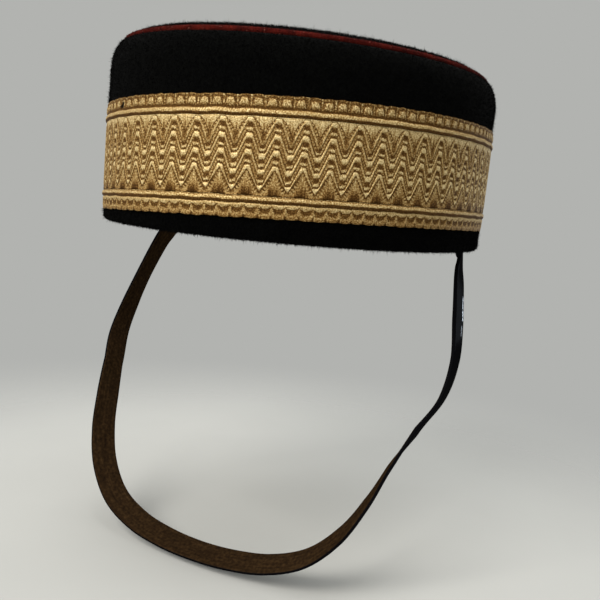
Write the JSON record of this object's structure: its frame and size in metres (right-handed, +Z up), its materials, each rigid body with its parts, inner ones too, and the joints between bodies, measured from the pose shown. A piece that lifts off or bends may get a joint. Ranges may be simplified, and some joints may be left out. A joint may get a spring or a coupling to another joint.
{
  "type": "pillbox cap",
  "caption": "Stiff oval pillbox cap of black wool with red crown piping, a wide gold zigzag lace band and a leather chin strap.",
  "frame": {"origin": "centre of the head opening, in the plane of the rim, where the cap sits on a head", "axes": "+Z up the cap's axis from the rim to the crown, -Y the way the wearer faces, +X to the wearer's left"},
  "size_m": [0.1874, 0.2036, 0.2303],
  "materials": {
    "black_wool": "napped wool cloth",
    "red_piping": "covered cord, matt",
    "gold_lace": "woven metal thread, soft sheen",
    "strap_leather": "glossy outside, brown flesh side"
  },
  "bodies": {
    "root": {"side_wall": "black_wool", "crown_top": "black_wool", "crown_piping": "red_piping", "gold_lace": "gold_lace", "chin_strap": "strap_leather"}
  },
  "joints": []
}
